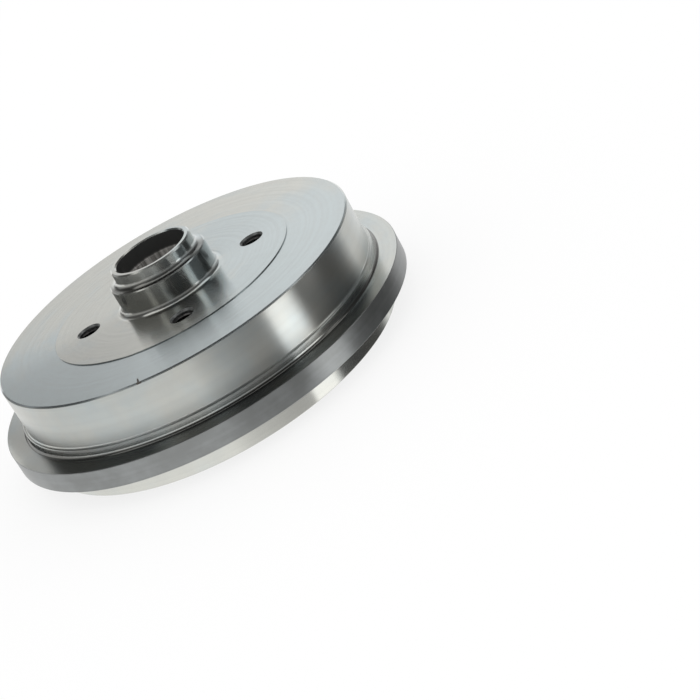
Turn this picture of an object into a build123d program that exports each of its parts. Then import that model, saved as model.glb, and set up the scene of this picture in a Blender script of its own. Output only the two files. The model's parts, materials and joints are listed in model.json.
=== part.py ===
from build123d import *
import math
import os

# Rear brake drum with its wheel hub, one grey-iron casting turned bright on the working faces.
# The open rim lies on Z = 0 and +Z runs up the axle line to the hub nose. Sizes are in millimetres.

# Wheel bolts and the raised face that the wheel sits on
bolt_circle = 100.0
bolt_count = 4
bolt_diameter = 12.0
bolt_chamfer = 1.0
face_margin = 20.4
face_rise = 0.5
face_edge_break = 0.2

# Heights of the outside, stacked up from the rim to the nose
lip_length = 13.5
flange_thickness = 12.0
band_length = 5.1
wall_length = 26.9
spigot_length = 14.4
nose_length = 8.3

# Brake bore and the walls and steps outside it
brake_bore_diameter = 200.0
bore_chamfer = 1.5
lip_wall = 6.5
lip_chamfer = 0.6
flange_overhang = 13.0
flange_edge_break = 0.25
drum_wall = 5.5
band_step = 1.7
band_edge_break = 0.3
rim_edge_break = 0.9

# Small radii left by the turning tool
lip_root_radius = 1.0
band_root_radius = 2.0
wall_root_radius = 1.0
ledge_share = 0.82

# Wheel spigot, the shallow cone that relieves its root, and the nose that takes the grease cap. The nose is a
# share of the wall between the cap seat and the spigot; edges are shares of the nose or its ledge.
spigot_diameter = 57.0
spigot_root_radius = 3.2
relief_width = 5.0
relief_depth = 0.5
nose_share = 0.42
nose_root_share = 0.69
spigot_edge_share = 0.13
nose_edge_share = 0.24
cap_edge_share = 0.20

# Inner hub, measured down from the wheel face
hub_reach = 47.6
hub_wall = 9.3
hub_chamfer = 2.4
collar_depth = 26.5
collar_step = 3.7
collar_edge_break = 0.4
collar_root_radius = 3.0
hub_cone_spread = 4.0

# Web between the hub and the brake bore, as cast, with a pad round each bolt hole
web_thickness_at_wall = 8.5
web_thickness_at_hub = 11.5
web_root_radius = 4.0
corner_radius = 2.5
pad_depth = 17.0
pad_width = 29.0
pad_reach = 16.5
pad_corner_radius = 5.0
pad_edge_radius = 1.5
pad_foot_radius = 2.0
pad_draft = 8.0

# Seats bored in the hub for the seal, the two bearing cups and the grease cap
inner_cup_diameter = 45.24
inner_cup_length = 12.0
inner_lead = 1.7
seal_step = 3.4
seal_depth = 7.9
seal_chamfer = 0.5
outer_cup_diameter = 39.88
outer_cup_length = 11.0
outer_shoulder = 1.9
cap_step = 0.5
cap_depth = 9.7

# Radii
bore_radius = brake_bore_diameter / 2
lip_radius = bore_radius + lip_wall
flange_radius = lip_radius + flange_overhang
wall_radius = bore_radius + drum_wall
band_radius = wall_radius + band_step
face_radius = bolt_circle / 2 + face_margin
pad_radius = bolt_circle / 2 + pad_reach
spigot_radius = spigot_diameter / 2
relief_radius = spigot_radius + relief_width
inner_cup_radius = inner_cup_diameter / 2
seal_radius = inner_cup_radius + seal_step
outer_cup_radius = outer_cup_diameter / 2
chamber_radius = outer_cup_radius - outer_shoulder
cap_radius = outer_cup_radius + cap_step
nose_wall = (spigot_radius - cap_radius) * nose_share
nose_radius = cap_radius + nose_wall
nose_ledge = spigot_radius - nose_radius
hub_radius = seal_radius + hub_wall
collar_radius = hub_radius + collar_step
cone_foot_radius = collar_radius + hub_cone_spread

# Heights above the rim
flange_top = lip_length + flange_thickness
band_top = flange_top + band_length
ring_face = band_top + wall_length
wheel_face = ring_face + face_rise
relief_foot = wheel_face - relief_depth
spigot_top = wheel_face + spigot_length
nose_top = spigot_top + nose_length
hub_end = wheel_face - hub_reach
collar_face = wheel_face - collar_depth
pad_face = wheel_face - pad_depth
web_at_wall = ring_face - web_thickness_at_wall
web_at_hub = ring_face - web_thickness_at_hub
web_middle = (web_at_wall + ring_face) / 2
seal_floor = hub_end + seal_depth
inner_shoulder = seal_floor + inner_lead + inner_cup_length
cap_floor = nose_top - cap_depth
outer_shoulder_face = cap_floor - outer_cup_length

# Corners of the turned section, as radius and height
hub_rim = (hub_radius, hub_end)
collar_root = (hub_radius, collar_face)
collar_edge = (collar_radius, collar_face)
cone_foot = (cone_foot_radius, web_at_hub)
bore_corner = (bore_radius, web_at_wall)
bore_mouth = (bore_radius, 0)
lip_edge = (lip_radius, 0)
lip_root = (lip_radius, lip_length)
flange_low_edge = (flange_radius, lip_length)
flange_high_edge = (flange_radius, flange_top)
band_root = (band_radius, flange_top)
band_edge = (band_radius, band_top)
wall_root = (wall_radius, band_top)
rim_edge = (wall_radius, ring_face)
face_foot = (face_radius, ring_face)
face_edge = (face_radius, wheel_face)
relief_edge = (relief_radius, wheel_face)
spigot_root = (spigot_radius, relief_foot)
spigot_edge = (spigot_radius, spigot_top)
nose_root = (nose_radius, spigot_top)
nose_edge = (nose_radius, nose_top)

outline = [
    (0, hub_end), hub_rim, collar_root, collar_edge, cone_foot, bore_corner, bore_mouth, lip_edge, lip_root,
    flange_low_edge, flange_high_edge, band_root, band_edge, wall_root, rim_edge, face_foot, face_edge,
    relief_edge, spigot_root, spigot_edge, nose_root, nose_edge, (0, nose_top),
]
# A root radius never takes more than its share of the ledge that it runs out on
rounded_corners = [
    (collar_root, min(collar_root_radius, collar_step * ledge_share)),
    (wall_root, min(wall_root_radius, band_step * ledge_share)),
    (nose_root, nose_ledge * nose_root_share),
    (spigot_root, min(spigot_root_radius, relief_width * ledge_share)),
    (band_root, band_root_radius),
    (lip_root, lip_root_radius),
    (bore_corner, corner_radius),
    (cone_foot, web_root_radius),
]
broken_edges = [
    (hub_rim, hub_chamfer),
    (collar_edge, collar_edge_break),
    (bore_mouth, bore_chamfer),
    (lip_edge, lip_chamfer),
    (flange_low_edge, flange_edge_break),
    (flange_high_edge, flange_edge_break),
    (band_edge, band_edge_break),
    (rim_edge, rim_edge_break),
    (face_edge, face_edge_break),
    (spigot_edge, nose_ledge * spigot_edge_share),
    (nose_edge, nose_wall * nose_edge_share),
]

# The stepped hole through the hub, from the seal seat up to the cap seat
cap_chamfer = nose_wall * cap_edge_share
bore_outline = [
    (0, hub_end), (seal_radius + seal_chamfer, hub_end), (seal_radius, hub_end + seal_chamfer),
    (seal_radius, seal_floor), (inner_cup_radius + inner_lead, seal_floor),
    (inner_cup_radius, seal_floor + inner_lead), (inner_cup_radius, inner_shoulder),
    (chamber_radius, inner_shoulder), (chamber_radius, outer_shoulder_face),
    (outer_cup_radius, outer_shoulder_face), (outer_cup_radius, cap_floor - cap_step),
    (cap_radius, cap_floor), (cap_radius, nose_top - cap_chamfer), (cap_radius + cap_chamfer, nose_top),
    (0, nose_top),
]


def corner(sketch, point):
    """The vertex of a sketch that lies at the given radius and height."""
    return sketch.vertices().sort_by_distance(point)[0]


def from_axis(point):
    """How far a point stands from the axle line."""
    return math.hypot(point.X, point.Y)


with BuildPart() as brake_drum:
    with BuildSketch(Plane.XZ) as section:
        with BuildLine():
            Polyline(*outline, close=True)
        make_face()
        for point, radius in rounded_corners:
            fillet(corner(section, point), radius)
        for point, length in broken_edges:
            chamfer(corner(section, point), length)
    revolve(axis=Axis.Z)

    # Cast pads stand on the web, wider at the foot by their draft
    with BuildSketch(Plane.XY.offset(pad_face)) as pad_plan:
        with PolarLocations(0, bolt_count):
            Rectangle(pad_radius, pad_width, align=(Align.MIN, Align.CENTER))
        Circle(pad_radius, mode=Mode.INTERSECT)
        fillet(pad_plan.vertices().filter_by(lambda v: from_axis(v) > collar_radius), pad_corner_radius)
    extrude(amount=web_middle - pad_face, taper=-pad_draft)
    pad_feet = brake_drum.edges(Select.NEW).filter_by_position(Axis.Z, web_at_hub, web_at_wall)
    pad_faces = brake_drum.faces().filter_by(Axis.Z).filter_by_position(Axis.Z, pad_face, pad_face)
    pad_rims = pad_faces.edges().filter_by(lambda e: from_axis(e.center()) > cone_foot_radius)
    fillet(pad_rims, pad_edge_radius)
    fillet(pad_feet, pad_foot_radius)

    # Stepped bore
    with BuildSketch(Plane.XZ) as bore_section:
        with BuildLine():
            Polyline(*bore_outline, close=True)
        make_face()
    revolve(axis=Axis.Z, mode=Mode.SUBTRACT)

    # Bolt holes, chamfered at both ends
    for seat in (Plane.XY.offset(wheel_face), Plane((0, 0, pad_face), z_dir=(0, 0, -1))):
        with Locations(seat):
            with PolarLocations(bolt_circle / 2, bolt_count):
                CounterSinkHole(bolt_diameter / 2, bolt_diameter / 2 + bolt_chamfer, counter_sink_angle=90)

brake_drum.part.label = "brake_drum"
os.makedirs("parts", exist_ok=True)
export_step(brake_drum.part, "parts/brake_drum.step")
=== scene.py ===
import json
import math

import bmesh
import bpy
from mathutils import Matrix, Vector


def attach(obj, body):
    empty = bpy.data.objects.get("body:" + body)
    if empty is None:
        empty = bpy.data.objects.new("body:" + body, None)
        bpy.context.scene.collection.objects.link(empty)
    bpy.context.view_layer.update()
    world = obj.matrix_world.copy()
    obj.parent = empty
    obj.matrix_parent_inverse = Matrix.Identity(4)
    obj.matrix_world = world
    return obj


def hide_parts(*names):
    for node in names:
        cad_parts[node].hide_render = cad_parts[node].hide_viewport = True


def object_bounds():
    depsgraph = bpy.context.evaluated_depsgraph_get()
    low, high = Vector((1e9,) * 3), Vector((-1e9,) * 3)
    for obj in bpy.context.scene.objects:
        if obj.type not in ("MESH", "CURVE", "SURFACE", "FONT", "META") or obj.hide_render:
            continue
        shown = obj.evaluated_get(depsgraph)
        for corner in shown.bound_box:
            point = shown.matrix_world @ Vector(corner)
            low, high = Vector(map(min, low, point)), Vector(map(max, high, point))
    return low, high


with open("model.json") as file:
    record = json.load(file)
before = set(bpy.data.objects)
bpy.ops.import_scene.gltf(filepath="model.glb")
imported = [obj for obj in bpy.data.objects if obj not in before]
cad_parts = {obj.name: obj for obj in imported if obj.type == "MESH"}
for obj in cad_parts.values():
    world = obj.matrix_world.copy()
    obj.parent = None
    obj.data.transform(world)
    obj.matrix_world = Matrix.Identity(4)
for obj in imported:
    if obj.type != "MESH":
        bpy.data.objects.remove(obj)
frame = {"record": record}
cad_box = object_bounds()

# Drum casting: brake drum and wheel hub in one piece of grey iron, cast in sand and turned on a lathe.
# The wheel face, walls, boss and bores are turned bright; the web inside keeps its cast skin, with a raised
# pad round each of the four bolt holes.
mm = 0.001
mounts = {mount["name"]: mount for mount in frame["record"]["mounts"]}


def mount_size(name, size):
    """A size of one of the record's mounts, in metres."""
    return mounts[name]["dims"][size] * mm


bolt_count = mounts["wheel_bolts"]["dims"]["count"]
bolt_circle_radius = mount_size("wheel_bolts", "pcd_mm") / 2
bolt_radius = mount_size("wheel_bolts", "hole_r_mm")
bolt_chamfer = 1.0 * mm

lip_wall = 6.5 * mm
drum_wall = 5.5 * mm
band_step = 1.7 * mm
face_margin = 20.4 * mm
relief_width = 5.0 * mm
nose_share = 0.42
chamber_step = 1.9 * mm
hub_wall = 9.3 * mm
collar_step = 3.7 * mm
cone_spread = 4.0 * mm
flange_radius = cad_box[1].x
bore_radius = mounts["brake_surface"]["pos_m"][0]
lip_radius = bore_radius + lip_wall
wall_radius = bore_radius + drum_wall
band_radius = wall_radius + band_step
disc_radius = bolt_circle_radius + face_margin
spigot_radius = mount_size("wheel_spigot", "r_mm")
relief_radius = spigot_radius + relief_width
cap_radius = mount_size("cap_seat", "r_mm")
nose_wall = nose_share * (spigot_radius - cap_radius)
nose_radius = cap_radius + nose_wall
nose_ledge = spigot_radius - nose_radius
outer_cup_radius = mount_size("outer_bearing_seat", "r_mm")
chamber_radius = outer_cup_radius - chamber_step
inner_cup_radius = mount_size("inner_bearing_seat", "r_mm")
seal_radius = mount_size("seal_seat", "r_mm")
hub_radius = seal_radius + hub_wall
collar_radius = hub_radius + collar_step
cone_foot_radius = collar_radius + cone_spread

lip_top = 13.5 * mm
flange_thickness = 12.0 * mm
band_length = 5.1 * mm
face_rise = 0.5 * mm
relief_depth = 0.5 * mm
spigot_length = 14.4 * mm
hub_reach = 47.6 * mm
collar_depth = 26.5 * mm
pad_depth = 17.0 * mm
web_thickness_at_wall = 8.5 * mm
web_thickness_at_hub = 11.5 * mm
seal_depth = 7.9 * mm
inner_lead = 1.7 * mm
inner_cup_length = 12.0 * mm
cap_depth = 9.7 * mm
cap_lead = 0.5 * mm
outer_cup_length = 11.0 * mm
nose_top = cad_box[1].z
wheel_face = mounts["wheel_face"]["pos_m"][2]
spigot_top = wheel_face + spigot_length
relief_foot = wheel_face - relief_depth
ring_face = wheel_face - face_rise
flange_top = lip_top + flange_thickness
band_top = flange_top + band_length
hub_end = wheel_face - hub_reach
collar_face = wheel_face - collar_depth
pad_face = wheel_face - pad_depth
web_at_wall = ring_face - web_thickness_at_wall
web_at_hub = ring_face - web_thickness_at_hub
seal_floor = hub_end + seal_depth
inner_shoulder = seal_floor + inner_lead + inner_cup_length
cap_floor = nose_top - cap_depth
outer_shoulder = cap_floor - outer_cup_length

hub_chamfer = 2.4 * mm
collar_root = 3.0 * mm
collar_break = 0.4 * mm
web_root = 4.0 * mm
bore_corner = 2.5 * mm
bore_chamfer = 1.5 * mm
lip_chamfer = 0.6 * mm
lip_root = 1.0 * mm
flange_break = 0.25 * mm
band_root = 2.0 * mm
band_break = 0.3 * mm
wall_root = 1.0 * mm
rim_break = 0.9 * mm
disc_break = 0.2 * mm
spigot_root = 3.2 * mm
spigot_break = 0.13 * nose_ledge
nose_root = 0.69 * nose_ledge
nose_break = 0.24 * nose_wall
cap_chamfer = 0.20 * nose_wall
seal_chamfer = 0.5 * mm

# Corners of the section as radius, height, softening and the steps of that softening
sharp = 0
flat = 1
arc = 8
section_corners = [
    (hub_radius, hub_end, hub_chamfer, flat),
    (hub_radius, collar_face, collar_root, arc),
    (collar_radius, collar_face, collar_break, flat),
    (cone_foot_radius, web_at_hub, web_root, arc),
    (bore_radius, web_at_wall, bore_corner, arc),
    (bore_radius, 0, bore_chamfer, flat),
    (lip_radius, 0, lip_chamfer, flat),
    (lip_radius, lip_top, lip_root, arc),
    (flange_radius, lip_top, flange_break, flat),
    (flange_radius, flange_top, flange_break, flat),
    (band_radius, flange_top, band_root, arc),
    (band_radius, band_top, band_break, flat),
    (wall_radius, band_top, wall_root, arc),
    (wall_radius, ring_face, rim_break, flat),
    (disc_radius, ring_face, 0, sharp),
    (disc_radius, wheel_face, disc_break, flat),
    (relief_radius, wheel_face, 0, sharp),
    (spigot_radius, relief_foot, spigot_root, arc),
    (spigot_radius, spigot_top, spigot_break, flat),
    (nose_radius, spigot_top, nose_root, arc),
    (nose_radius, nose_top, nose_break, flat),
    (cap_radius, nose_top, cap_chamfer, flat),
    (cap_radius, cap_floor, 0, sharp),
    (outer_cup_radius, cap_floor - cap_lead, 0, sharp),
    (outer_cup_radius, outer_shoulder, 0, sharp),
    (chamber_radius, outer_shoulder, 0, sharp),
    (chamber_radius, inner_shoulder, 0, sharp),
    (inner_cup_radius, inner_shoulder, 0, sharp),
    (inner_cup_radius, seal_floor + inner_lead, 0, sharp),
    (inner_cup_radius + inner_lead, seal_floor, 0, sharp),
    (seal_radius, seal_floor, 0, sharp),
    (seal_radius, hub_end, seal_chamfer, flat),
]

# Points closer together than this are one point
weld = 0.001 * mm


def wire(shape, corners):
    """A closed wire through corners on the XZ plane, each corner chamfered or rounded as it says."""
    ring = [shape.verts.new((radius, 0, height)) for radius, height, _, _ in corners]
    for start, end in zip(ring, ring[1:] + ring[:1]):
        shape.edges.new((start, end))
    for vert, (_, _, softening, steps) in zip(ring, corners):
        if steps != sharp:
            arms = [edge.other_vert(vert).co - vert.co for edge in vert.link_edges]
            run = softening if steps == flat else softening / math.tan(arms[0].angle(arms[1]) / 2)
            bmesh.ops.bevel(shape, geom=[vert], offset=run, offset_type="OFFSET", affect="VERTICES",
                            segments=steps, profile=0.5, material=-1)


def turn(shape, steps):
    """Spins a wire all the way round the axle line into a closed skin."""
    bmesh.ops.spin(shape, geom=shape.verts[:] + shape.edges[:], cent=(0, 0, 0), axis=(0, 0, 1),
                   angle=math.tau, steps=steps, use_merge=True, use_duplicate=False)
    bmesh.ops.remove_doubles(shape, verts=shape.verts, dist=weld)
    bmesh.ops.recalc_face_normals(shape, faces=shape.faces)


def piece_from(shape, name):
    """Turns a bmesh into an object of the scene."""
    mesh = bpy.data.meshes.new(name)
    shape.to_mesh(mesh)
    shape.free()
    made = bpy.data.objects.new(name, mesh)
    bpy.context.scene.collection.objects.link(made)
    return made


def settle(piece):
    """Makes a piece's modifiers part of its mesh."""
    shaped = bpy.data.meshes.new_from_object(piece.evaluated_get(bpy.context.evaluated_depsgraph_get()))
    piece.modifiers.clear()
    piece.data = shaped


def radius_of(point):
    """How far a point stands from the axle line."""
    return math.hypot(point.x, point.y)


# Turn the section, with the cone and web divided finely enough to carry the pads
steps_round = 256
cone_steps = 8
cone_run = 8 * mm
web_steps = 34
web_run = 40 * mm
casting = bmesh.new()
wire(casting, section_corners)
for edge in casting.edges[:]:
    middle = (edge.verts[0].co + edge.verts[1].co) / 2
    if collar_radius < middle.x < bore_radius and collar_face < middle.z < web_at_wall:
        if edge.calc_length() > web_run:
            bmesh.ops.subdivide_edges(casting, edges=[edge], cuts=web_steps)
        elif edge.calc_length() > cone_run:
            bmesh.ops.subdivide_edges(casting, edges=[edge], cuts=cone_steps)
turn(casting, steps_round)

# Raise the pads out of the web: flat inside the outline, then a soft drafted side down to the cast skin
pad_half_width = 14.5 * mm
pad_reach = 16.5 * mm
pad_radius = bolt_circle_radius + pad_reach
pad_corner = 5.0 * mm
pad_edge = 1.3 * mm
pad_spread = 2.6 * mm
web_margin = 2.4 * mm
web_edge_radius = bore_radius - web_margin
finer_inside = 3 * mm
finer_outside = 5 * mm
finer_cuts = 2
pad_spacing = math.tau / bolt_count


def outside_pad(point):
    """How far a point lies outside the outline of the nearest pad, less than nothing inside it."""
    bearing = math.atan2(point.y, point.x)
    off_middle = (bearing + pad_spacing / 2) % pad_spacing - pad_spacing / 2
    across = abs(radius_of(point) * math.sin(off_middle)) - pad_half_width + pad_corner
    along = radius_of(point) - pad_radius + pad_corner
    return math.hypot(max(across, 0), max(along, 0)) + min(max(across, along), 0) - pad_corner


def is_web(point):
    """True on the cast skin between the hub's collar and the corner of the brake bore."""
    return collar_radius < radius_of(point) < web_edge_radius and collar_face < point.z < web_at_wall


near_outline = [
    edge for edge in casting.edges
    if all(is_web(vert.co) and -finer_inside < outside_pad(vert.co) < finer_outside for vert in edge.verts)
]
bmesh.ops.subdivide_edges(casting, edges=near_outline, cuts=finer_cuts, use_grid_fill=True)
for vert in casting.verts:
    if is_web(vert.co) and vert.co.z > pad_face:
        share = (outside_pad(vert.co) + pad_edge) / (pad_edge + pad_spread)
        share = min(max(share, 0), 1)
        ease = share ** 3 * (share * (6 * share - 15) + 10)
        vert.co.z = pad_face + (vert.co.z - pad_face) * ease
drum_casting = piece_from(casting, "drum_casting")


def hole_at(bearing):
    """Middle of the bolt hole that lies at a bearing, on the plane of the rim."""
    return Vector((math.cos(bearing), math.sin(bearing), 0)) * bolt_circle_radius


# Drill the bolt holes, chamfered at both ends, and knock the small nick in the edge of the face
drill_run_out = 1.0 * mm
drill_steps = 64
nick_half = Vector((0.50, 3.0, 0.40)) * mm
nick_middle = Vector((-31.75 * mm, -98.0 * mm, ring_face))
wide = bolt_radius + bolt_chamfer + drill_run_out
cutters = bmesh.new()
for number in range(bolt_count):
    drill = bmesh.new()
    wire(drill, [
        (0, wheel_face + drill_run_out, 0, sharp),
        (wide, wheel_face + drill_run_out, 0, sharp),
        (bolt_radius, wheel_face - bolt_chamfer, 0, sharp),
        (bolt_radius, pad_face + bolt_chamfer, 0, sharp),
        (wide, pad_face - drill_run_out, 0, sharp),
        (0, pad_face - drill_run_out, 0, sharp),
    ])
    axis_edges = [edge for edge in drill.edges if all(abs(vert.co.x) < weld for vert in edge.verts)]
    bmesh.ops.delete(drill, geom=axis_edges, context="EDGES")
    turn(drill, drill_steps)
    bmesh.ops.translate(drill, verts=drill.verts, vec=hole_at(number * pad_spacing))
    drill_mesh = bpy.data.meshes.new("drill")
    drill.to_mesh(drill_mesh)
    drill.free()
    cutters.from_mesh(drill_mesh)
    bpy.data.meshes.remove(drill_mesh)
nick_shape = Matrix.Translation(nick_middle) @ Matrix.Diagonal(nick_half).to_4x4()
bmesh.ops.create_icosphere(cutters, subdivisions=3, radius=1, matrix=nick_shape)
cutter = piece_from(cutters, "cutter")
cut = drum_casting.modifiers.new("holes", "BOOLEAN")
cut.operation = "DIFFERENCE"
cut.solver = "EXACT"
cut.object = cutter
settle(drum_casting)
bpy.data.objects.remove(cutter)

# Smooth turned surfaces that meet at crisp edges
crease = math.radians(28)
drum_casting.data.shade_smooth()
drum_casting.data.set_sharp_from_angle(angle=crease)
drum_casting.modifiers.new("true normals", "WEIGHTED_NORMAL").keep_sharp = True
settle(drum_casting)


def add(tree, kind, sockets=None, **settings):
    """A new node of a shader tree, with its properties set and its sockets given values or links."""
    made = tree.nodes.new("ShaderNode" + kind)
    for name, value in settings.items():
        setattr(made, name, value)
    for name, value in (sockets or {}).items():
        if isinstance(value, bpy.types.NodeSocket):
            tree.links.new(value, made.inputs[name])
        else:
            made.inputs[name].default_value = value
    return made


def mixed(tree, share, first, second):
    """A colour between two others."""
    return add(tree, "Mix", {0: share, 6: first, 7: second}, data_type="RGBA").outputs[2]


def spread(tree, value, low, high, out_low=0.0, out_high=1.0):
    """A value of one range laid smoothly over another range."""
    ranges = {0: value, 1: low, 2: high, 3: out_low, 4: out_high}
    return add(tree, "MapRange", ranges, interpolation_type="SMOOTHSTEP").outputs[0]


def product(tree, first, second):
    """Two values multiplied."""
    return add(tree, "Math", {0: first, 1: second}, operation="MULTIPLY").outputs[0]


def weighted(tree, value, weight, base):
    """A base value with a share of another value added to it."""
    return add(tree, "Math", {0: value, 1: weight, 2: base}, operation="MULTIPLY_ADD").outputs[0]


def new_group(name, inputs, outputs):
    """An empty shader node group with named value sockets."""
    group = bpy.data.node_groups.new(name, "ShaderNodeTree")
    for socket in inputs:
        group.interface.new_socket(socket, in_out="INPUT", socket_type="NodeSocketFloat")
    for socket in outputs:
        group.interface.new_socket(socket, in_out="OUTPUT", socket_type="NodeSocketFloat")
    return group, group.nodes.new("NodeGroupInput").outputs, group.nodes.new("NodeGroupOutput").inputs


# Turning marks: fine rings and broader streaks that run round the axle line, on faces and cylinders alike
path_rise = 0.618
streak_height = 0.5
turning_marks, given, result = new_group(
    "turning marks", ["Rings per metre", "Streaks per metre"], ["Height", "Streak", "Radius"])
place = add(turning_marks, "TexCoord").outputs["Object"]
apart = add(turning_marks, "SeparateXYZ", {0: place}).outputs
level = add(turning_marks, "CombineXYZ", {0: apart[0], 1: apart[1]}).outputs[0]
radius = add(turning_marks, "VectorMath", {0: level}, operation="LENGTH").outputs["Value"]
path = weighted(turning_marks, apart[2], path_rise, radius)
rings = add(turning_marks, "TexNoise", {"W": path, "Scale": given[0], "Detail": 2.0}, noise_dimensions="1D")
streaks = add(turning_marks, "TexNoise", {"W": path, "Scale": given[1], "Detail": 3.0}, noise_dimensions="1D")
height = weighted(turning_marks, streaks.outputs[0], streak_height, rings.outputs[0])
turning_marks.links.new(height, result[0])
turning_marks.links.new(spread(turning_marks, streaks.outputs[0], 0.3, 0.7), result[1])
turning_marks.links.new(radius, result[2])

# Clouding: faint patches left by cutting oil, handling and drying, drawn out round the axle line
clouding, given, result = new_group("clouding", ["Patches round", "Patches per metre", "Contrast"], ["Cloud"])
place = add(clouding, "TexCoord").outputs["Object"]
apart = add(clouding, "SeparateXYZ", {0: place}).outputs
level = add(clouding, "CombineXYZ", {0: apart[0], 1: apart[1]}).outputs[0]
radius = add(clouding, "VectorMath", {0: level}, operation="LENGTH").outputs["Value"]
outward = add(clouding, "VectorMath", {0: level}, operation="NORMALIZE").outputs[0]
around = add(clouding, "VectorMath", {0: outward, "Scale": given[0]}, operation="SCALE").outputs[0]
path = weighted(clouding, apart[2], path_rise, radius)
along = product(clouding, path, given[1])
upward = add(clouding, "CombineXYZ", {2: along}).outputs[0]
spot = add(clouding, "VectorMath", {0: around, 1: upward}, operation="ADD").outputs[0]
patches = add(clouding, "TexNoise", {"Vector": spot, "Scale": 1.0, "Detail": 4.0, "Roughness": 0.55})
centred = add(clouding, "Math", {0: patches.outputs[0], 1: 0.5}, operation="SUBTRACT").outputs[0]
cloud = add(clouding, "Math", {0: centred, 1: given[2], 2: 0.5}, operation="MULTIPLY_ADD", use_clamp=True)
clouding.links.new(cloud.outputs[0], result[0])

# Cast grain: the pimpled skin that the sand mould leaves
mottle_share = 0.12
cast_grain, given, result = new_group("cast grain", ["Grains per metre"], ["Height", "Mottle"])
place = add(cast_grain, "TexCoord").outputs["Object"]
grains = add(cast_grain, "TexNoise", {"Vector": place, "Scale": given[0], "Detail": 5.0, "Roughness": 0.62})
coarser = product(cast_grain, given[0], mottle_share)
mottle = add(cast_grain, "TexNoise", {"Vector": place, "Scale": coarser, "Detail": 4.0, "Roughness": 0.6})
for socket, value in zip(result, (grains.outputs[0], spread(cast_grain, mottle.outputs[0], 0.32, 0.68))):
    cast_grain.links.new(value, socket)


def new_material(name):
    """A material with its Principled shader, ready for its own nodes."""
    made = bpy.data.materials.new(name)
    made.use_nodes = True
    return made, made.node_tree, made.node_tree.nodes["Principled BSDF"]


def use_group(tree, group, sockets):
    """Places a node group in a material with its own values."""
    made = add(tree, "Group", node_tree=group)
    for name, value in sockets.items():
        made.inputs[name].default_value = value
    return made.outputs


# Turned iron: satin silver grey with a faint tint, cool on the right of the face and on the ring in front,
# warm on the left of the disc and at the back. Painted shade darkens two corners: the front of the nose's
# ledge and the root of the band.
cool_iron = (0.490, 0.545, 0.554, 1)
warm_iron = (0.560, 0.562, 0.522, 1)
dull_iron = (0.400, 0.403, 0.392, 1)
shaded_iron = (0.080, 0.078, 0.072, 1)
disc_left = -25 * mm
disc_right = 60 * mm
ring_back = 75 * mm
ring_front = -35 * mm
wall_coolness = 0.30
cloud_weight = 0.7
most_dull = 0.15
ledge_back = 6 * mm
ledge_front = -8 * mm
ledge_shade = 0.75
band_shade = 0.85
face_roughness = 0.18
boss_roughness = 0.175
wall_extra = 0.14
streak_extra = 0.02
turned_iron, tree, shader = new_material("turned iron")
marks = use_group(tree, turning_marks, {"Rings per metre": 2600, "Streaks per metre": 420})
cloud = use_group(tree, clouding, {"Patches round": 3.2, "Patches per metre": 70, "Contrast": 2.4})["Cloud"]
across, along, up = add(tree, "SeparateXYZ", {0: add(tree, "TexCoord").outputs["Object"]}).outputs
disc_tint = spread(tree, across, disc_left, disc_right)
ring_tint = spread(tree, along, ring_back, ring_front)
on_ring = spread(tree, marks["Radius"], disc_radius - 0.5 * mm, disc_radius + 0.5 * mm)
face_tint = add(tree, "Mix", {0: on_ring, 2: disc_tint, 3: ring_tint}).outputs[0]
on_top = spread(tree, up, ring_face - 1 * mm, ring_face)
wall_tint = spread(tree, up, lip_top - 1 * mm, lip_top + 1 * mm, 0.0, wall_coolness)
tint = add(tree, "Mix", {0: on_top, 2: wall_tint, 3: face_tint}).outputs[0]
coolness = spread(tree, weighted(tree, cloud, cloud_weight, tint), 0.25, 1.20)
colour = mixed(tree, coolness, warm_iron, cool_iron)
smears = use_group(tree, clouding, {"Patches round": 14.0, "Patches per metre": 110, "Contrast": 2.6})
wear = add(tree, "Math", {0: marks["Streak"], 1: smears["Cloud"]}, operation="ADD").outputs[0]
dullness = spread(tree, wear, 0.3, 1.7, 0.0, most_dull)
colour = mixed(tree, dullness, colour, dull_iron)
# Painted shade: the front of the nose's ledge and the foot of the nose turn near black
above_ledge = spread(tree, up, spigot_top - 0.06 * mm, spigot_top - 0.01 * mm)
in_nose_root = spread(tree, up, spigot_top + 2.0 * mm, spigot_top + 0.4 * mm)
in_front = spread(tree, along, ledge_back, ledge_front, 0.0, ledge_shade)
colour = mixed(tree, product(tree, product(tree, above_ledge, in_nose_root), in_front), colour, shaded_iron)
# Painted shade: the root of the band above the flange darkens, dimming the fillet's bright line
above_flange = spread(tree, up, flange_top + 0.01 * mm, flange_top + 0.04 * mm)
in_band_root = spread(tree, up, flange_top + 1.7 * mm, flange_top + 1.0 * mm, 0.0, band_shade)
outside = spread(tree, marks["Radius"], wall_radius, wall_radius + 1 * mm)
colour = mixed(tree, product(tree, product(tree, in_band_root, above_flange), outside), colour, shaded_iron)
tree.links.new(colour, shader.inputs["Base Color"])
up_band = spread(tree, up, flange_top + 0.1 * mm, band_top + 1.0 * mm)
under_face = spread(tree, up, ring_face - 1 * mm, ring_face - 0.3 * mm, wall_extra, 0.0)
boss_end = relief_radius + 4 * mm
fineness = spread(tree, marks["Radius"], relief_radius, boss_end, boss_roughness, face_roughness)
streaked = weighted(tree, marks["Streak"], streak_extra, fineness)
tree.links.new(weighted(tree, up_band, under_face, streaked), shader.inputs["Roughness"])
bump = add(tree, "Bump", {"Strength": 0.02, "Distance": 0.01 * mm, "Height": marks["Height"]})
tree.links.new(bump.outputs[0], shader.inputs["Normal"])
shader.inputs["Metallic"].default_value = 1.0
shader.inputs["Anisotropic"].default_value = 0.85
shader.inputs["Anisotropic Rotation"].default_value = 0.25
tangent = add(tree, "Tangent", direction_type="RADIAL", axis="Z")
tree.links.new(tangent.outputs[0], shader.inputs["Tangent"])

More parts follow.
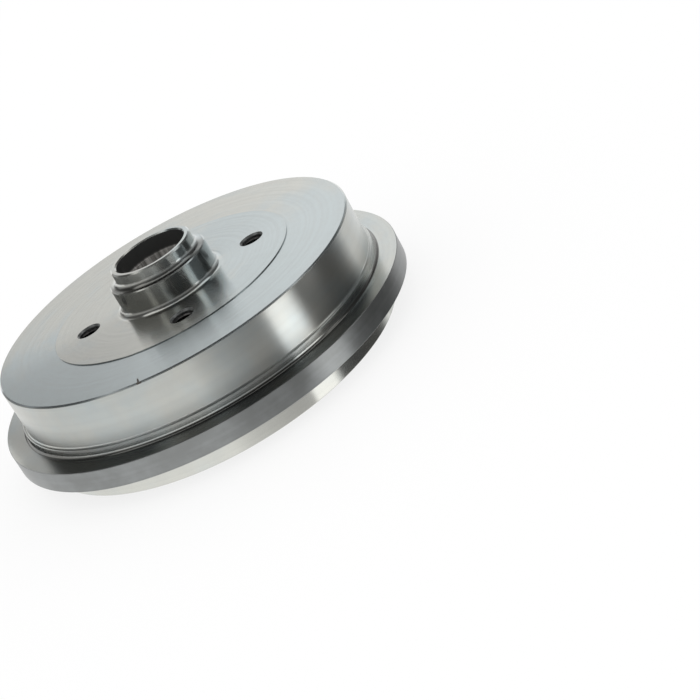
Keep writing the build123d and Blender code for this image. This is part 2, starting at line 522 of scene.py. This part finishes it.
# Flange iron: the flange's edge and the bolt holes, left duller by a coarser cut, with streaks and clouds
light_flange = (0.262, 0.273, 0.273, 1)
dark_flange = (0.205, 0.212, 0.209, 1)
streak_tone = 0.25
flange_iron, tree, shader = new_material("flange iron")
marks = use_group(tree, turning_marks, {"Rings per metre": 2200, "Streaks per metre": 500})
cloud = use_group(tree, clouding, {"Patches round": 7.0, "Patches per metre": 120, "Contrast": 2.6})["Cloud"]
tone = spread(tree, weighted(tree, marks["Streak"], streak_tone, cloud), 0.2, 1.3)
tree.links.new(mixed(tree, tone, dark_flange, light_flange), shader.inputs["Base Color"])
tree.links.new(spread(tree, cloud, 0.0, 1.0, 0.33, 0.38), shader.inputs["Roughness"])
bump = add(tree, "Bump", {"Strength": 0.15, "Distance": 0.01 * mm, "Height": marks["Height"]})
tree.links.new(bump.outputs[0], shader.inputs["Normal"])
shader.inputs["Metallic"].default_value = 0.9

# Cast skin: dark brown-grey scale, mottled and rough
pale_skin = (0.120, 0.108, 0.096, 1)
dark_skin = (0.045, 0.039, 0.034, 1)
cast_skin, tree, shader = new_material("cast skin")
grain = use_group(tree, cast_grain, {"Grains per metre": 900})
tree.links.new(mixed(tree, grain["Mottle"], dark_skin, pale_skin), shader.inputs["Base Color"])
tree.links.new(spread(tree, grain["Mottle"], 0.0, 1.0, 0.78, 0.6), shader.inputs["Roughness"])
bump = add(tree, "Bump", {"Strength": 0.7, "Distance": 0.25 * mm, "Height": grain["Height"]})
tree.links.new(bump.outputs[0], shader.inputs["Normal"])
shader.inputs["Metallic"].default_value = 0.35

# Bored iron: the seats inside the hub. The cap seat is near black, as painted shade; the bearing seats are
# paler, with painted highlights in streaks along the axle line.
shaded_bore = (0.030, 0.031, 0.030, 1)
dark_bore = (0.120, 0.114, 0.106, 1)
highlight_bore = (0.460, 0.447, 0.425, 1)
bored_iron, tree, shader = new_material("bored iron")
marks = use_group(tree, turning_marks, {"Rings per metre": 2200, "Streaks per metre": 300})
highlight_streak = use_group(tree, clouding, {"Patches round": 7.0, "Patches per metre": 14, "Contrast": 5.0})["Cloud"]
up = add(tree, "SeparateXYZ", {0: add(tree, "TexCoord").outputs["Object"]}).outputs[2]
# Near-black cap seat: painted shade
in_cap_seat = spread(tree, up, cap_floor - 1 * mm, cap_floor + 1 * mm)
# Pale streaks along the axle line: painted highlights on the bearing seats
seat = mixed(tree, highlight_streak, dark_bore, highlight_bore)
tree.links.new(mixed(tree, in_cap_seat, seat, shaded_bore), shader.inputs["Base Color"])
tree.links.new(spread(tree, highlight_streak, 0.0, 1.0, 0.30, 0.42), shader.inputs["Roughness"])
tree.links.new(spread(tree, up, inner_shoulder, outer_shoulder, 0.9, 0.15), shader.inputs["Metallic"])
bump = add(tree, "Bump", {"Strength": 0.1, "Distance": 0.01 * mm, "Height": marks["Height"]})
tree.links.new(bump.outputs[0], shader.inputs["Normal"])

# Each face takes the finish of the place where its middle lies
turned, matt, cast, bored = range(4)
for finish in (turned_iron, flange_iron, cast_skin, bored_iron):
    drum_casting.data.materials.append(finish)
hair = 0.01 * mm
flange_side = flange_radius - 0.2 * mm
for face in drum_casting.data.polygons:
    middle = face.center
    bearing = round(math.atan2(middle.y, middle.x) / pad_spacing) * pad_spacing
    in_hole = radius_of(middle - hole_at(bearing)) < bolt_radius + bolt_chamfer
    between_faces = pad_face + hair < middle.z < wheel_face - hair
    in_nick = abs(middle.x - nick_middle.x) < nick_half.x and abs(middle.y - nick_middle.y) < nick_half.y
    bore_edge = cap_radius + cap_chamfer / 4 if middle.z > inner_shoulder else seal_radius
    if radius_of(middle) > flange_side or in_hole and between_faces:
        face.material_index = matt
    elif is_web(middle) and not in_hole:
        face.material_index = cast
    elif in_nick and ring_face - nick_half.z < middle.z < ring_face - hair:
        face.material_index = cast
    elif radius_of(middle) < bore_edge:
        face.material_index = bored
    else:
        face.material_index = turned
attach(drum_casting, "root")
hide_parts("brake_drum")

# Bolt threads: a fine screw thread tapped in each of the four wheel-bolt holes. Each is one ridge wound up
# the hole, with its foot sunk a little into the wall.
thread_pitch = 1.5 * mm
thread_depth = 0.8 * mm
thread_foot = 0.04 * mm
crest_half = 0.10 * mm
foot_half = 0.68 * mm
steps_per_turn = 48
thread_low = pad_face + bolt_chamfer
thread_turns = int((wheel_face - bolt_chamfer - thread_low) / thread_pitch) - 1
# The thread iron is near black so that the holes stay dark inside: painted shade
dark_thread = (0.030, 0.030, 0.030, 1)
pale_thread = (0.090, 0.088, 0.085, 1)
thread_iron, tree, shader = new_material("thread iron")
mottle = use_group(tree, cast_grain, {"Grains per metre": 2500})["Mottle"]
tree.links.new(mixed(tree, mottle, dark_thread, pale_thread), shader.inputs["Base Color"])
tree.links.new(spread(tree, mottle, 0.0, 1.0, 0.42, 0.3), shader.inputs["Roughness"])
shader.inputs["Metallic"].default_value = 1.0
for number in range(bolt_count):
    ridge = bmesh.new()
    profile = [
        (bolt_radius + thread_foot, -foot_half),
        (bolt_radius - thread_depth, -crest_half),
        (bolt_radius - thread_depth, crest_half),
        (bolt_radius + thread_foot, foot_half),
    ]
    first = ridge.faces.new([ridge.verts.new((out, 0, thread_low + foot_half + up)) for out, up in profile])
    bmesh.ops.spin(ridge, geom=[first], cent=(0, 0, 0), axis=(0, 0, 1), angle=math.tau * thread_turns,
                   dvec=(0, 0, thread_pitch / steps_per_turn), steps=steps_per_turn * thread_turns)
    bmesh.ops.recalc_face_normals(ridge, faces=ridge.faces)
    bmesh.ops.translate(ridge, verts=ridge.verts, vec=hole_at(number * pad_spacing))
    thread = piece_from(ridge, f"bolt_thread_{number + 1}")
    thread.data.materials.append(thread_iron)
    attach(thread, "root")

# Camera: a little above the wheel face, with the roll that shows the drum leaning to the left.
# Long lens, no shift, no blur.
camera_place = (0.05440, -0.93597, 0.38378)
camera_turn = (63.254, 26.688, -13.524)
camera_lens = 94.73
camera_data = bpy.data.cameras.new("camera")
camera_data.lens = camera_lens
camera = bpy.data.objects.new("camera", camera_data)
camera.location = camera_place
camera.rotation_euler = [math.radians(angle) for angle in camera_turn]
bpy.context.scene.collection.objects.link(camera)
bpy.context.scene.camera = camera
camera_bearing = math.atan2(camera_place[0], -camera_place[1])

# Floor: a wide white sheet under the drum, matt so that it keeps the soft shadow. It adds a white of its own
# for the camera, and is clear from below.
floor_half = 6.0
floor_colour = (0.96, 0.96, 0.96, 1)
own_white = 0.80
floor_shape = bmesh.new()
bmesh.ops.create_grid(floor_shape, x_segments=1, y_segments=1, size=floor_half)
floor = piece_from(floor_shape, "floor")
floor_paint, tree, shader = new_material("floor paint")
shader.inputs["Base Color"].default_value = floor_colour
shader.inputs["Roughness"].default_value = 1.0
shader.inputs["Specular IOR Level"].default_value = 0.0
seen = product(tree, add(tree, "LightPath").outputs["Is Camera Ray"], own_white)
white = add(tree, "Emission", {"Color": (1, 1, 1, 1), "Strength": 1.0}).outputs[0]
lit = add(tree, "MixShader", {0: seen, 1: shader.outputs[0], 2: white}).outputs[0]
underneath = add(tree, "NewGeometry").outputs["Backfacing"]
clear = add(tree, "BsdfTransparent").outputs[0]
one_sided = add(tree, "MixShader", {0: underneath, 1: lit, 2: clear}).outputs[0]
tree.links.new(one_sided, tree.nodes["Material Output"].inputs["Surface"])
floor.data.materials.append(floor_paint)
floor.visible_glossy = False
floor.visible_diffuse = False
floor.visible_shadow = False

# Studio light: a white room all round, with cards that only the polished iron mirrors. Near cards curve round
# the camera's side of the drum, the room's walls stand beyond them, and a ceiling lies over all.
room_light = 1.05
room = bpy.data.worlds.new("room")
room.use_nodes = True
room.node_tree.nodes["Background"].inputs["Color"].default_value = (1, 1, 1, 1)
room.node_tree.nodes["Background"].inputs["Strength"].default_value = room_light
bpy.context.scene.world = room


def toward(angle):
    """Flat direction at an angle to the right of the camera, seen from the drum."""
    return Vector((math.sin(camera_bearing + angle), -math.cos(camera_bearing + angle), 0))


# One paint for every card. Its glow is read from the card's own corners, one for a first reflection and one
# for the reflections after it.
past_first = 1.5
card_paint = bpy.data.materials.new("card paint")
card_paint.use_nodes = True
tree = card_paint.node_tree
first_glow = add(tree, "Attribute", attribute_name="first").outputs["Fac"]
later_glow = add(tree, "Attribute", attribute_name="later").outputs["Fac"]
depth = add(tree, "LightPath").outputs["Ray Depth"]
is_later = add(tree, "Math", {0: depth, 1: past_first}, operation="GREATER_THAN").outputs[0]
level = add(tree, "Mix", {0: is_later, 2: first_glow, 3: later_glow}).outputs[0]
glow = add(tree, "Emission", {"Color": (1, 1, 1, 1), "Strength": level}).outputs[0]
tree.links.new(glow, tree.nodes["Material Output"].inputs["Surface"])


def show_to_mirrors(shape, name):
    """Makes a card that glossy rays alone can see."""
    card = piece_from(shape, name)
    card.data.materials.append(card_paint)
    card.visible_camera = False
    card.visible_diffuse = False
    card.visible_shadow = False
    card.visible_transmission = False


def stand_card(name, stops, low, high, stand_off=None, distance=None):
    """A card on edge, curved round the drum, through stops of angle, first glow and later glow.

    With a stand_off the angles are those on the drum's wall at which the card is mirrored; with a
    distance they are the card's own bearings from the axle line.
    """
    card_step = 4
    columns = [stops[0]]
    for start, end in zip(stops, stops[1:]):
        parts = math.ceil((end[0] - start[0]) / card_step)
        for part in range(1, parts + 1):
            columns.append([before + (after - before) * part / parts for before, after in zip(start, end)])
    shape = bmesh.new()
    first = shape.verts.layers.float.new("first")
    later = shape.verts.layers.float.new("later")
    foot = []
    for angle, first_level, later_level in columns:
        angle = math.radians(angle)
        if stand_off:
            place = toward(angle) * wall_radius + toward(2 * angle) * stand_off
        else:
            place = toward(angle) * distance
        vert = shape.verts.new((place.x, place.y, low))
        vert[first] = first_level
        vert[later] = later_level
        foot.append(vert)
    for start, end in zip(foot, foot[1:]):
        shape.edges.new((start, end))
    drawn = bmesh.ops.extrude_edge_only(shape, edges=shape.edges[:])
    raised = [vert for vert in drawn["geom"] if isinstance(vert, bmesh.types.BMVert)]
    bmesh.ops.translate(shape, verts=raised, vec=(0, 0, high - low))
    show_to_mirrors(shape, name)


# Near cards, for the wall and flange. Each stop is an angle on the wall, a first glow and a later glow. Below
# the rim the cards are more even, and above the wall they are dim.
near_foot = -0.080
near_lip = -0.004
near_head = 0.055
near_top = 0.076
near_stand_off = 0.060
near_dark = 0.30
lip_base = 0.35
lip_share = 0.75
lip_limit = 1.60
near_stops = [
    # White on the left
    (-80, 1.00, 0.08), (-72, 1.00, 0.05), (-52, 0.99, 0.05), (-44, 1.05, 0.05), (-28, 1.08, 0.04),
    (-24, 1.08, 0.22), (-20, 1.10, 0.26), (-16, 1.08, 0.14), (-8, 1.08, 0.16),
    # Fading to grey in front
    (-4, 0.82, 0.14), (0, 0.66, 0.05), (4, 0.55, 0.04), (8, 0.44, 0.04), (13, 0.36, 0.04), (18.2, 0.36, 0.04),
    # A bright strip
    (19.4, 2.05, 0.06), (26.8, 2.05, 0.17),
    # Dark on the right, up to a white end
    (30, 0.16, 0.12), (36, 0.08, 0.08), (48, 0.09, 0.02), (53, 0.16, 0.05), (57, 0.60, 0.40),
    (60, 1.30, 1.00),
]
near_top_stops = [
    # Dim on the left
    (-80, 0.25, 0.08), (-72, 0.25, 0.05), (-30, 0.25, 0.04), (-24, 0.25, 0.22), (-16, 0.25, 0.14),
    (-11, 0.25, 0.16),
    # Dark in front
    (-5.5, 0.20, 0.14), (0, 0.12, 0.05), (5.5, 0.07, 0.04), (22, 0.06, 0.05), (27, 0.20, 0.16),
    (31, 0.25, 0.11),
    # A bright strip for the nose
    (33, 1.80, 0.10), (37, 1.80, 0.08),
    # Dark on the right, up to a grey end
    (40, 0.20, 0.05), (48, 0.10, 0.02), (53, 0.12, 0.05), (57, 0.25, 0.40), (60, 0.50, 1.00),
]


def lip_glow(glow):
    """The glow of a near card below the rim, evened out except where the card is dark."""
    return glow if glow < near_dark else min(lip_base + lip_share * glow, lip_limit)


near_lip_stops = [(angle, lip_glow(first), later) for angle, first, later in near_stops]
stand_card("near_lip_card", near_lip_stops, near_foot, near_lip, stand_off=near_stand_off)
stand_card("near_card", near_stops, near_lip, near_head, stand_off=near_stand_off)
stand_card("near_top_card", near_top_stops, near_head, near_top, stand_off=near_stand_off)

# The room on the camera's side, from far left to far right, with stops at bearings from the axle line: a grey
# foot with lit windows in it, dimmer in the middle and dark above
room_distance = 1.6
room_foot = -1.00
room_sill = 0.28
room_middle = 0.75
room_high = 1.90
middle_base = 0.32
middle_share = 0.12
high_glow = 0.10
foot_stops = [
    # Pale on the left, with two windows that later reflections show
    (-150, 1.00, 0.19), (-100, 0.95, 0.19), (-58, 0.80, 0.19), (-52, 0.80, 0.48), (-45, 0.80, 0.48),
    (-40, 0.65, 0.17), (-24, 0.50, 0.17), (-19, 0.38, 0.40), (-11, 0.30, 0.40),
    # Dark behind the camera
    (-4, 0.16, 0.11), (4, 0.12, 0.05), (40, 0.12, 0.05),
    # A bright window on the right
    (45, 2.40, 1.15), (56, 2.40, 1.15),
    # Dim, then dark, then pale at the far right
    (60, 0.40, 0.22), (82, 0.40, 0.18), (88, 0.12, 0.04), (106, 0.12, 0.04), (114, 0.80, 0.50),
    (150, 1.05, 0.90),
]
middle_stops = [
    (angle, middle_base + middle_share * min(first, 1.0), later) for angle, first, later in foot_stops
]
high_stops = [(angle, high_glow, later) for angle, _, later in foot_stops]
stand_card("room_foot", foot_stops, room_foot, room_sill, distance=room_distance)
stand_card("room_middle", middle_stops, room_sill, room_middle, distance=room_distance)
stand_card("room_high", high_stops, room_middle, room_high, distance=room_distance)

# Dark cards behind the drum on the left, mirrored in the face. Each bearing has one glow for all reflections.
back_glows = {-168: 0.45, -158: 0.15, -150: 0.14}
back_low = 0.20
flag_glows = {-186: 1.00, -181: 0.88, -178: 0.70, -175: 0.58, -172: 0.44, -150: 0.30}
flag_low = 0.72
flag_high = 1.75
flag_distance = 2.0
back_stops = [(angle, glow, glow) for angle, glow in back_glows.items()]
flag_stops = [(angle, glow, glow) for angle, glow in flag_glows.items()]
stand_card("back_left", back_stops, back_low, room_high, distance=room_distance)
stand_card("back_flag", flag_stops, flag_low, flag_high, distance=flag_distance)

# Ceiling: dark over the camera, light over the drum and behind it, and dark all over to later reflections
ceiling_parts = {"ceiling_front": (1, 0.06), "ceiling_back": (-1, 1.05)}
ceiling_later = 0.05
ceiling_split = 0.27
for name, (side, brightness) in ceiling_parts.items():
    shape = bmesh.new()
    first = shape.verts.layers.float.new("first")
    later = shape.verts.layers.float.new("later")
    bmesh.ops.create_circle(shape, cap_ends=True, segments=64, radius=room_distance,
                            matrix=Matrix.Translation((0, 0, room_high)))
    bmesh.ops.bisect_plane(shape, geom=shape.verts[:] + shape.edges[:] + shape.faces[:],
                           plane_co=toward(0) * ceiling_split, plane_no=toward(0) * side, clear_inner=True)
    for vert in shape.verts:
        vert[first] = brightness
        vert[later] = ceiling_later
    show_to_mirrors(shape, name)

bpy.context.scene.view_settings.view_transform = "Standard"
